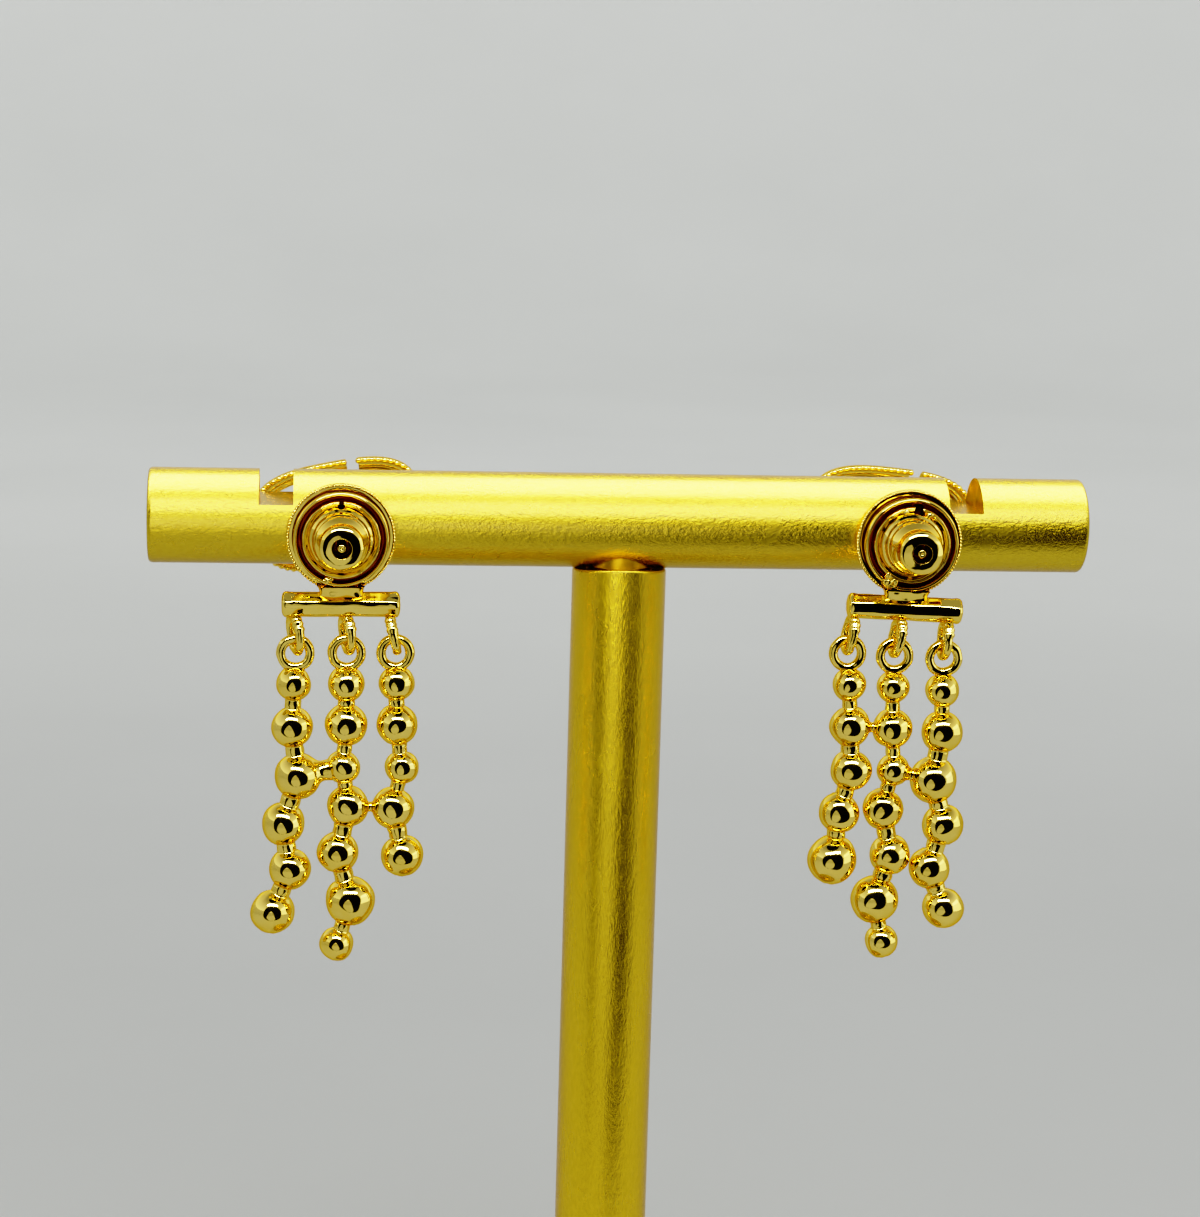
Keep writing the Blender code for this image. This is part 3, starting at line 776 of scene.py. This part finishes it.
def loops(side, inward, hang, gold):
    """The three wire loops under the crossbar, each turned and leaning a little."""
    for place in STRAND_X:
        turn, lean = (math.radians(value) for value in LOOP_SETTING[side, place])
        up = Vector((-inward * math.sin(lean), 0.0, math.cos(lean)))
        flat = Vector((math.cos(lean), 0.0, inward * math.sin(lean)))
        normal = flat * math.cos(turn) + up.cross(flat) * math.sin(turn)
        foot_drop = RING_DROP - RING_RADIUS + RING_WIRE + FIT_GAP + LOOP_WIRE
        foot = Vector(((STRAND_X[place] + LOOP_FOOT_OFFSET) * inward, -CROSSBAR_DEPTH, -foot_drop))
        item = wire_ring(
            side + "_" + place + "_loop", foot + up * LOOP_RADIUS, normal, LOOP_RADIUS, LOOP_WIRE,
            wound, place=hang,
        )
        wobble(item, amount=0.09, scale=1.2, seed=2.0 + STRAND_X[place])
        dress(item, gold)


def drum_cup(side, hang, gold):
    """The stepped cup with a nick in its lip; its inside is painted paler as painted light, and its
    groove, step and nick are painted dark as painted shade.
    """
    face = [
        (radius * DRUM_RADIUS, DRUM_NEAR + deep * DRUM_THICKNESS) for radius, deep in DRUM_SECTION
    ]
    bore = EAR_POST_RADIUS + FIT_GAP
    section = [(bore, face[0][1])] + face + [(bore, face[-1][1])]
    cup = turned(
        side + "_drum_cup", rounded(section, DRUM_ROUNDING, steps=5), AWAY, 180,
        closed_path=True, place=hang, sharp=60.0,
    )
    centre = hang @ Vector((0.0, 0.0, 0.0))

    def inner(point):
        return 1.0 if (point - centre).xz.length < DRUM_UNEVEN_RADIUS else 0.3

    wobble(cup, amount=0.055, scale=1.1, seed=5.0, weight=inner)
    nick = NICKS[side]
    cut(cup, [block(
        "nick", (nick["x"] - nick["width"] / 2, DRUM_NEAR - 1.0, nick["low"]),
        (nick["x"] + nick["width"] / 2, DRUM_NEAR + 1.15, nick["high"]),
        place=hang @ Matrix.Rotation(math.radians(nick["turn"]), 4, "Y"),
    )])
    cup.data.shade_smooth()
    cup.data.set_sharp_from_angle(angle=math.radians(45.0))
    dress(cup, gold, replaced=[side + "_drum"])
    back = hang.inverted()

    def between(radii, depths):
        """Picks the faces between two radii and two depths, in shares of the drum's."""
        def chosen(point, _):
            point = back @ point
            radius = point.xz.length / DRUM_RADIUS
            deep = (point.y - DRUM_NEAR) / DRUM_THICKNESS
            return radii[0] < radius < radii[1] and depths[0] < deep < depths[1]
        return chosen

    def in_nick(point, _):
        point = back @ point
        beside = abs(point.x - nick["x"]) < nick["width"] / 2 + 0.05
        return beside and nick["low"] - 0.02 < point.z < nick["high"] and point.y > DRUM_NEAR + 0.12

    # Painted light: the inner cup given paler gold.
    second_finish(cup, polished_gold(side + "_drum_inner_gold", CUP_PAINTED_LIGHT_TONES), between(*DRUM_PAINTED_LIGHT_CUP))
    # Painted shade: the groove brown, the nick and the flange's step near black.
    for name, tone, chosen in (
        ("_drum_recess", DRUM_PAINTED_SHADES["recess"][0], between(*DRUM_PAINTED_SHADES["recess"][1:])),
        ("_drum_shade", NICK_PAINTED_SHADE, in_nick),
        ("_drum_step", DRUM_PAINTED_SHADES["step"][0], between(*DRUM_PAINTED_SHADES["step"][1:])),
    ):
        second_finish(cup, dull_gold_and_painted_shade(side + name, tone), chosen)


def drum(side, hang, gold):
    """The cup with the beading round its flange and the solder across its groove."""
    drum_cup(side, hang, gold)
    reach = DRUM_RADIUS - DRUM_BEAD_INSET
    near = DRUM_NEAR + DRUM_BEAD_DEPTH_SHARE * DRUM_THICKNESS
    count = round(2.0 * math.pi * reach / DRUM_BEAD_PITCH)
    centres = [(hang @ Vector((reach * c, near, reach * s))) * MM for c, s in full_turn(count)]
    dress(beads(side + "_drum_beading", centres, DRUM_BEAD_RADIUS), gold)
    work = bmesh.new()
    for angle, radius, deep, size in DRUM_SOLDER[side]:
        turn = math.radians(angle)
        point = Vector((radius * math.cos(turn), DRUM_NEAR + deep, radius * math.sin(turn)))
        bmesh.ops.create_uvsphere(
            work, u_segments=32, v_segments=20, radius=size * MM,
            matrix=Matrix.Translation((hang @ point) * MM),
        )
    blob = object_from(side + "_drum_solder", work)
    wobble(blob, amount=0.20, scale=1.9, seed=4.0)
    dress(blob, gold)


def nut(side, hang, gold):
    """The bullet-shaped ear nut, with a mouth in which the ear post's tip shows, its inside painted dark
    as painted shade.
    """
    end = NUT_BASE - NUT_LENGTH
    bore = EAR_POST_RADIUS + FIT_GAP
    section = [(share * NUT_RADIUS, NUT_BASE - far * NUT_LENGTH) for share, far in NUT_SECTION]
    section += [
        (NUT_MOUTH_RADIUS, end), (NUT_MOUTH_RADIUS, end + NUT_MOUTH_DEPTH),
        (bore, end + NUT_MOUTH_DEPTH), (bore, NUT_BASE),
    ]
    item = turned(
        side + "_ear_nut", rounded(section, NUT_ROUNDING, steps=6), AWAY, 96, closed_path=True, place=hang,
        sharp=60.0,
    )

    def base_most(point):
        return 1.0 if point.y > NUT_BASE - NUT_BASE_BAND else 0.25

    wobble(item, amount=0.05, scale=1.5, seed=12.0, weight=base_most)
    dress(item, gold, replaced=[side + "_nut"])
    back = hang.inverted()

    def in_mouth(point, _):
        point = back @ point
        return point.xz.length < NUT_MOUTH_RADIUS + 0.02 and point.y > end + 0.25

    # Painted shade inside the mouth.
    second_finish(item, dull_gold_and_painted_shade(side + "_nut_mouth", NUT_MOUTH_PAINTED_SHADE), in_mouth)


def outline_angle(along):
    """The angle at which the ornament's outline passes a distance along its length."""
    share = along / ORNAMENT_HALF_LENGTH
    power = ORNAMENT_SQUARENESS
    return math.atan2(1.0, share / (1.0 - share ** power) ** (1.0 / power))


def outline_point(angle):
    """The point of the ornament's outline at an angle."""
    c, s = math.cos(angle), math.sin(angle)
    reach = squared(c, s, ORNAMENT_SQUARENESS)
    return Vector((ORNAMENT_HALF_LENGTH * c * reach, 0.0, ORNAMENT_HALF_HEIGHT * s * reach))


def lobe_frames(steps):
    """Outline points of the upper lobe with the direction into the ornament."""
    first = outline_angle(SLOT_OFFSET - SLOT_WIDTH / 2)
    last = math.pi + outline_angle(SLOT_OFFSET + SLOT_WIDTH / 2)
    small = 0.001
    frames = []
    for i in range(steps + 1):
        angle = first + (last - first) * i / steps
        along = (outline_point(angle + small) - outline_point(angle - small)).normalized()
        frames.append((outline_point(angle), Vector((-along.z, 0.0, along.x))))
    return frames


def lobe(name, sign, place, gold):
    """One lobe of the ornament, a hollow rim open to the back, and the beading on it."""
    section = rounded(LOBE_SECTION, LOBE_ROUNDING)
    lift = Vector((0.0, 0.0, ORNAMENT_RISE))
    rows = []
    for here, inward in lobe_frames(96):
        row = []
        for inside, deep in section:
            point = here + inward * inside
            row.append(Vector((sign * point.x, ORNAMENT_NEAR + deep, sign * point.z)) + lift)
        rows.append(row)
    dress(skin(name + "_lobe", rows, place=place, sharp=50.0), gold)
    frames = lobe_frames(600)
    travelled = 0.0
    last = frames[0][0]
    next_at = ORNAMENT_BEAD_START
    centres = []
    for here, inward in frames:
        travelled += (here - last).length
        last = here
        if travelled < next_at:
            continue
        next_at += ORNAMENT_BEAD_PITCH
        point = here + inward * ORNAMENT_BEAD_INSET
        point = Vector((sign * point.x, ORNAMENT_NEAR - 0.02, sign * point.z)) + lift
        centres.append((place @ point) * MM)
    dress(beads(name + "_beading", centres, ORNAMENT_BEAD_RADIUS, 3), gold)


def stud(side, place, gold):
    """The front ornament, its bridge and hub, and the ear post through the bar."""
    slot = side + "_stud"
    root = HUB_NEAR + 0.8
    section = rounded(
        (
            (EARRING_CORE, -EAR_POST_TIP), (EAR_POST_RADIUS, -EAR_POST_TIP),
            (EAR_POST_RADIUS, root), (EARRING_CORE, root),
        ),
        EAR_POST_ROUNDING,
    )
    ear_post = turned(side + "_ear_post", section, AWAY, 40, place=place)
    dress(ear_post, gold, replaced=[slot])
    hub_end = HUB_NEAR + HUB_THICKNESS
    section = rounded(
        (
            (EARRING_CORE, HUB_NEAR), (HUB_RADIUS, HUB_NEAR), (HUB_RADIUS, hub_end - HUB_TIP_HEIGHT),
            (HUB_TIP_RADIUS, hub_end), (EARRING_CORE, hub_end),
        ),
        HUB_ROUNDING,
    )
    dress(turned(side + "_ornament_hub", section, AWAY, 72, place=place), gold)
    bridge = block(
        side + "_ornament_bridge",
        (-BRIDGE_HALF_LENGTH, BRIDGE_NEAR, -BRIDGE_HEIGHT / 2),
        (BRIDGE_HALF_LENGTH, BRIDGE_NEAR + BRIDGE_THICKNESS, BRIDGE_HEIGHT / 2),
        place=place,
    )
    step = bridge.modifiers.new("edge", "BEVEL")
    step.width = 0.15 * MM
    step.segments = 3
    dress(baked(bridge), gold)
    for name, sign in (("upper", 1), ("lower", -1)):
        lobe(side + "_ornament_" + name, sign, place, gold)


def ball_rows(centre, radius, before, after, neck_in, neck_out, sides):
    """Rings on a ball; their axis turns gently from one neck's to the other's."""
    rows = []
    steps = 18
    for k in range(steps + 1):
        t = k / steps
        angle = neck_in + (math.pi - neck_out - neck_in) * t
        axis = before.lerp(after, t).normalized()
        middle = centre - axis * (radius * math.cos(angle))
        rows.append(ring_row(middle, axis, radius * math.sin(angle), sides))
    return rows


def strand(name, balls, hook, sides=48):
    """One body of balls and the waisted necks between them, from (centre, radius) pairs."""
    rows = []
    before = (balls[0][0] - hook).normalized()
    for i, (centre, radius) in enumerate(balls):
        last = i + 1 == len(balls)
        after = before if last else (balls[i + 1][0] - centre).normalized()
        neck_in = neck_out = math.radians(6.0)
        if i:
            neck_in = math.asin(NECK_SHARE * min(radius, balls[i - 1][1]) / radius)
        if not last:
            neck_out = math.asin(NECK_SHARE * min(radius, balls[i + 1][1]) / radius)
        if i:
            above = balls[i - 1]
            neck = NECK_SHARE * min(radius, above[1])
            gap_from = above[0] + before * (above[1] * math.cos(math.asin(neck / above[1])))
            gap_to = centre - before * (radius * math.cos(neck_in))
            for t in (0.15, 0.5, 0.85):
                rows.append(ring_row(gap_from.lerp(gap_to, t), before, neck * 1.04, sides))
        rows += ball_rows(centre, radius, before, after, neck_in, neck_out, sides)
        before = after
    first, final = balls[0], balls[-1]
    top = first[0] - (first[0] - hook).normalized() * first[1]
    return skin(name, rows, poles=(top, final[0] + before * final[1]), sharp=80.0)


def neck_weight(balls):
    """How close a point is to a neck or joint: 0 on a ball's clean middle, 1 outside it."""
    def weight(point):
        nearest = min(abs((point - centre).length - radius) for centre, radius in balls)
        inside = min((point - centre).length / radius for centre, radius in balls)
        tall = min(
            1.0 - abs((point - centre).z) / radius for centre, radius in balls
            if (point - centre).length < radius * 1.25
        ) if inside < 1.25 else 0.0
        return min(1.0, max(0.0, (0.35 - tall) / 0.3) + nearest * 2.0)
    return weight


def solder_bridge(name, start, finish, waist):
    """Solder drawn out between two balls, each a centre and radius, thinnest halfway."""
    across = finish[0] - start[0]
    along = across.normalized()
    length = across.length - SOLDER_START * (start[1] + finish[1])
    rows = []
    steps = 16
    for k in range(steps + 1):
        t = k / steps
        end = SOLDER_END * (start[1] if t < 0.5 else finish[1])
        swell = waist + (end - waist) * (2.0 * t - 1.0) ** 2
        far = SOLDER_START * start[1] + length * t
        rows.append(ring_row(start[0] + along * far, along, swell, 32))
    return skin(name, rows)


def drop(side, hooks, gold):
    """The swinging part: three rings, their strands of balls, and the solder between."""
    body = side + "_drop_body"
    slot = side + "_drop"
    balls = {}
    for place, hook in hooks.items():
        balls[place] = [
            (hook + Vector((x, 0.0, -fall)), diameter / 2) for x, fall, diameter in BALLS[side, place]
        ]
        seed = STRAND_X[place]
        item = strand(side + "_" + place + "_strand", balls[place], hook)
        wobble(item, amount=0.11, scale=0.5, seed=1.0 + seed)
        wobble(item, amount=0.07, scale=2.0, seed=6.0 + seed, weight=neck_weight(balls[place]))
        dress(item, gold, body, [slot] if place == "middle" else ())
        ring = wire_ring(side + "_" + place + "_ring", hook, AWAY, RING_RADIUS, RING_WIRE)
        wobble(ring, amount=0.06, scale=1.1, seed=9.0 + seed)
        dress(ring, gold, body)
    for i, (place, upper, other, lower, waist) in enumerate(SOLDER[side]):
        name = side + "_solder_" + str(i + 1)
        bridge = solder_bridge(name, balls[place][upper - 1], balls[other][lower - 1], waist)
        wobble(bridge, amount=0.10, scale=0.9, seed=11.0 + i)
        dress(bridge, gold, body)


def earring(side, x, z, drum_turn, stud_turn, inward):
    """All pieces of one earring, placed from its ear post."""
    at = Matrix.Translation((x, 0.0, BAR_Z + z))
    hang = at @ Matrix.Rotation(math.radians(drum_turn), 4, "Y")
    gold = polished_gold(side + "_polished_gold")
    drum(side, hang, gold)
    crossbar(side, hang, gold)
    loops(side, inward, hang, gold)
    nut(side, hang, gold)
    stud(side, at @ Matrix.Rotation(math.radians(stud_turn), 4, "Y"), gold)
    hooks = {
        place: hang @ Vector((strand_x * inward, -CROSSBAR_DEPTH, -RING_DROP))
        for place, strand_x in STRAND_X.items()
    }
    drop(side, hooks, gold)


# Stage, light and camera.

def stage_material(name, colour, roughness):
    """Pale, dull and faintly clouded."""
    made = bpy.data.materials.new(name)
    made.use_nodes = True
    tree = made.node_tree
    shader = tree.nodes["Principled BSDF"]
    shader.inputs["Roughness"].default_value = roughness
    shader.inputs["Specular IOR Level"].default_value = 0.2
    place = tree.nodes.new("ShaderNodeTexCoord").outputs["Object"]
    clouds = noise_node(tree, place, 6.0, 5.0).outputs["Fac"]
    tone = mixed_colour(
        tree, ramp(tree, clouds, 0.0, 1.0, 0.35, 0.65), [c * 0.965 for c in colour], colour,
    )
    tree.links.new(tone, shader.inputs["Base Color"])
    return made


def floor():
    """Pale floor that curves up into a low wall all round."""
    section = [(0.02 + k * 0.06, 0.0) for k in range(16)]
    for degrees in range(4, 81, 4):
        angle = math.radians(degrees)
        section.append((
            FLOOR_RADIUS + FLOOR_CURVE * math.sin(angle), FLOOR_CURVE - FLOOR_CURVE * math.cos(angle),
        ))
    rows = [[Vector((r * c, r * s, z)) for c, s in full_turn(96)] for r, z in section]
    item = open_skin("pale_floor", rows, fill_start=True)
    item.data.materials.append(stage_material("pale_floor", FLOOR_COLOUR, 0.8))


def dark_skin(name, rows):
    """Part of the room's dark side, seen only in reflections."""
    item = open_skin(name, rows)
    made = bpy.data.materials.new(name)
    made.use_nodes = True
    shader = made.node_tree.nodes["Principled BSDF"]
    shader.inputs["Base Color"].default_value = (0.012, 0.012, 0.012, 1.0)
    shader.inputs["Roughness"].default_value = 1.0
    item.data.materials.append(made)
    item.visible_camera = False
    item.visible_diffuse = False
    item.visible_shadow = False


def seen_at(azimuth, height, reach):
    """A point of the surroundings in a direction from the earrings, laid on the floor if low."""
    a, e = math.radians(azimuth), math.radians(height)
    ray = Vector((math.sin(a) * math.cos(e), -math.cos(a) * math.cos(e), math.sin(e)))
    eye = Vector(EARRINGS_MIDDLE)
    if eye.z + ray.z * reach < 0.001:
        reach = (0.001 - eye.z) / ray.z
    return eye + ray * reach


def dark_surroundings():
    """A dark patch facing the balls, with a pale egg-shaped gap, and one above the lamp."""
    turn = full_turn(72)
    lowest = PATCH["height"] - PATCH["half_height"] + 0.1
    pairs = []
    for c, s in turn:
        reach = squared(c, s, PATCH_SQUARENESS)
        across = GAP["azimuth"] + GAP["half_width"] * c * (1.0 - GAP_TAPER * s)
        height = max(GAP["height"] + GAP["half_height"] * s, lowest)
        edge_across = PATCH["azimuth"] + PATCH["half_width"] * c * reach
        edge_height = PATCH["height"] + PATCH["half_height"] * s * reach
        pairs.append((across, height, edge_across - across, edge_height - height))
    steps = 12
    rows = []
    for k in range(steps + 1):
        t = k / steps
        rows.append([
            seen_at(across + wider * t, height + taller * t, PATCH_REACH)
            for across, height, wider, taller in pairs
        ])
    dark_skin("dark_patch", rows)
    rows = []
    for reach in (0.01, 0.5, 1.0):
        rows.append([
            seen_at(
                CEILING["half_width"] * reach * c + CEILING["azimuth"],
                CEILING["height"] + CEILING["half_height"] * reach * s, CEILING_REACH,
            )
            for c, s in turn
        ])
    dark_skin("dark_ceiling_patch", rows)


def area_light(name, place, target, size, power, receivers):
    """An oblong lamp aimed at its target, lighting only its receivers."""
    data = bpy.data.lights.new(name, "AREA")
    data.shape = "RECTANGLE"
    data.size, data.size_y = size
    data.energy = power
    item = bpy.data.objects.new(name, data)
    bpy.context.scene.collection.objects.link(item)
    item.location = place
    item.rotation_mode = "QUATERNION"
    item.rotation_quaternion = (Vector(target) - Vector(place)).to_track_quat("-Z", "Y")
    item.visible_camera = False
    item.light_linking.receiver_collection = receivers


def receiver_groups():
    """What the lights reach: the bar, the post, both, the earrings, or floor and base."""
    names = {
        "bar": ("stand_bar_rod",),
        "post": ("stand_post_rod",),
        "stand": ("stand_bar_rod", "stand_post_rod"),
        "earrings": ("left", "right"),
        "stage": ("pale", "stand_base"),
    }
    groups = {}
    for group, starts in names.items():
        groups[group] = bpy.data.collections.new(group + "_receivers")
        for item in bpy.context.scene.objects:
            if item.type == "MESH" and not item.hide_render and item.name.startswith(starts):
                groups[group].objects.link(item)
    return groups


def lights(groups):
    """A pale world that dims upwards, and the area lights."""
    world = bpy.data.worlds.new("studio")
    bpy.context.scene.world = world
    world.use_nodes = True
    tree = world.node_tree
    background = tree.nodes["Background"]
    direction = tree.nodes.new("ShaderNodeTexCoord").outputs["Generated"]
    parts = tree.nodes.new("ShaderNodeSeparateXYZ")
    tree.links.new(direction, parts.inputs["Vector"])
    level = ramp(tree, parts.outputs["Z"], 1.0, 0.32, 0.30, 0.90)
    tree.links.new(level, background.inputs["Strength"])
    background.inputs["Color"].default_value = (0.985, 0.985, 0.97, 1.0)
    for name, place, target, size, power, group in LIGHTS:
        area_light(name, place, target, size, power, groups[group])


def grade():
    """A photographic tone curve, the same for each channel: a soft toe and shoulder."""
    view = bpy.context.scene.view_settings
    view.view_transform = "Standard"
    view.look = "None"
    view.use_curve_mapping = True
    mapping = view.curve_mapping
    mapping.white_level = (TONE_WHITE, TONE_WHITE, TONE_WHITE)
    curve = mapping.curves[3]
    for level, shown in TONE_CURVE:
        curve.points.new(level / TONE_WHITE, shown)
    curve.points[-1].location = (1.0, 0.99)
    for point in curve.points:
        point.handle_type = "AUTO_CLAMPED"
    mapping.update()


def camera():
    """The camera, set up as it was fitted to the photograph."""
    forward = Vector((
        math.sin(CAMERA_YAW) * math.cos(CAMERA_PITCH),
        math.cos(CAMERA_YAW) * math.cos(CAMERA_PITCH),
        -math.sin(CAMERA_PITCH),
    ))
    level = Vector((math.cos(CAMERA_YAW), -math.sin(CAMERA_YAW), 0.0))
    down = forward.cross(level)
    c, s = math.cos(CAMERA_ROLL), math.sin(CAMERA_ROLL)
    right = level * c + down * s
    below = down * c - level * s
    axes = Matrix((right, -below, -forward)).transposed()
    data = bpy.data.cameras.new("camera")
    data.sensor_fit = "HORIZONTAL"
    data.sensor_width = 36.0
    data.lens = CAMERA_LENS
    data.clip_start = 0.01
    data.clip_end = 20.0
    item = bpy.data.objects.new("camera", data)
    bpy.context.scene.collection.objects.link(item)
    item.matrix_world = Matrix.Translation(Vector(CAMERA_PLACE) * MM) @ axes.to_4x4()
    bpy.context.scene.camera = item


def build():
    """The whole scene: stand, earrings, surroundings, lights and camera."""
    base()
    post()
    bar()
    for row in EARRINGS:
        earring(*row)
    floor()
    dark_surroundings()
    lights(receiver_groups())
    camera()
    grade()
    bpy.context.view_layer.update()


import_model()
build()
